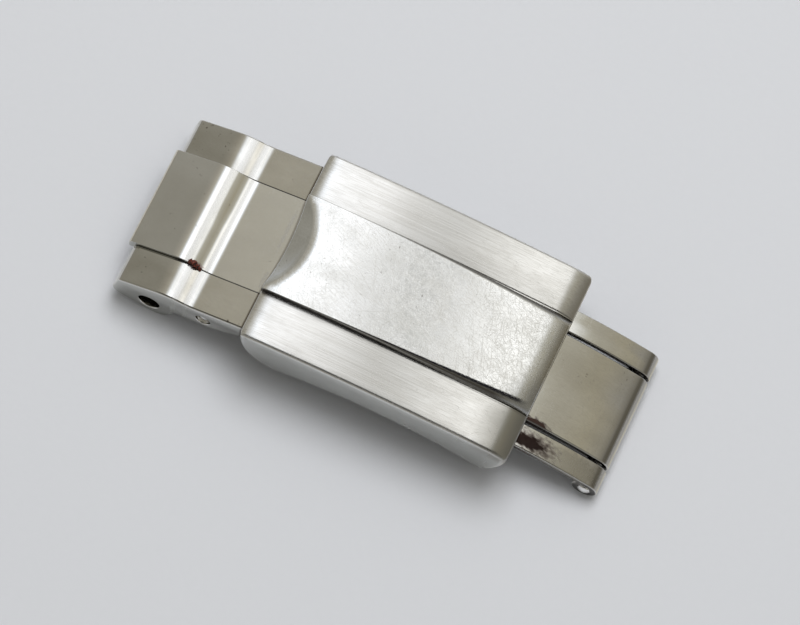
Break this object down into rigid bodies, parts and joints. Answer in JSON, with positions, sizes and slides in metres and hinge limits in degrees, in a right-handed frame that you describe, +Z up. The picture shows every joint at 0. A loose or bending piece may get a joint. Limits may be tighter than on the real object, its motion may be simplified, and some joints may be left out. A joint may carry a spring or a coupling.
{
  "type": "bracelet folding clasp",
  "caption": "Closed folding clasp of a three-row steel watch bracelet, with thumb scoop, a rigid end piece with bar lugs and one swinging link.",
  "frame": {"origin": "under the middle of the closed clasp, on the surface that it lies on", "axes": "+X along the bracelet from the thumb end to the link end, +Y across it, +Z up out of the cover"},
  "size_m": [0.0438, 0.018, 0.0074],
  "materials": {
    "cover_strips": "brushed lengthwise with fine lines",
    "cover_panel": "polished, worn with fine random scratches",
    "end_piece_rows": "mirror polished",
    "end_piece_middle": "mirror polished",
    "link_rows": "mirror polished",
    "link_middle": "mirror polished",
    "blades": "satin",
    "pins": "turned, satin",
    "spring_bar": "drawn, bright"
  },
  "bodies": {
    "lower": {"lower_blade": "blades", "blade_rivets": "pins", "blade_hinge_pin": "pins", "end_piece_far_row": "end_piece_rows", "end_piece_near_row": "end_piece_rows", "end_piece_centre": "end_piece_middle", "end_piece_cross_pin": "pins", "catch_pin": "pins"},
    "middle": {"middle_blade": "blades"},
    "cover": {"cover_shell": "cover_strips", "cover_centre_panel": "cover_panel", "cover_hinge_ears": "blades", "cover_hinge_pin": "pins", "bar_bosses": "blades", "spring_bar_barrel": "spring_bar", "spring_bar_spring": "spring_bar"},
    "link": {"link_far_row": "link_rows", "link_near_row": "link_rows", "link_centre": "link_middle", "link_bar_tube": "spring_bar", "link_end_pin": "pins"},
    "near_tip": {"spring_bar_near_tip": "spring_bar"},
    "far_tip": {"spring_bar_far_tip": "spring_bar"}
  },
  "joints": [
    {"name": "blade_fold", "type": "hinge", "parent": "lower", "child": "middle", "pos_m": [0.0084, 0, 0.0033], "axis": [0, 1, 0], "range_deg": [0, 165]},
    {"name": "cover_turn", "type": "hinge", "parent": "middle", "child": "cover", "pos_m": [-0.00625, 0, 0.00475], "axis": [0, 1, 0], "range_deg": [-165, 0]},
    {"name": "link_swing", "type": "hinge", "parent": "cover", "child": "link", "pos_m": [0.0117, 0, 0.00268], "axis": [0, 1, 0], "range_deg": [-15, 50]},
    {"name": "near_tip_slide", "type": "slide", "parent": "cover", "child": "near_tip", "axis": [0, 1, 0], "range_m": [0, 0.0012], "stiffness_N_per_m": 600, "springref_m": -0.0015, "deforming": ["spring_bar_spring"]},
    {"name": "far_tip_slide", "type": "slide", "parent": "cover", "child": "far_tip", "axis": [0, -1, 0], "range_m": [0, 0.0012], "stiffness_N_per_m": 600, "springref_m": -0.0015, "deforming": ["spring_bar_spring"]}
  ],
  "couplings": [
    {"joint": "cover_turn", "follows": "blade_fold", "ratio": -1}
  ]
}
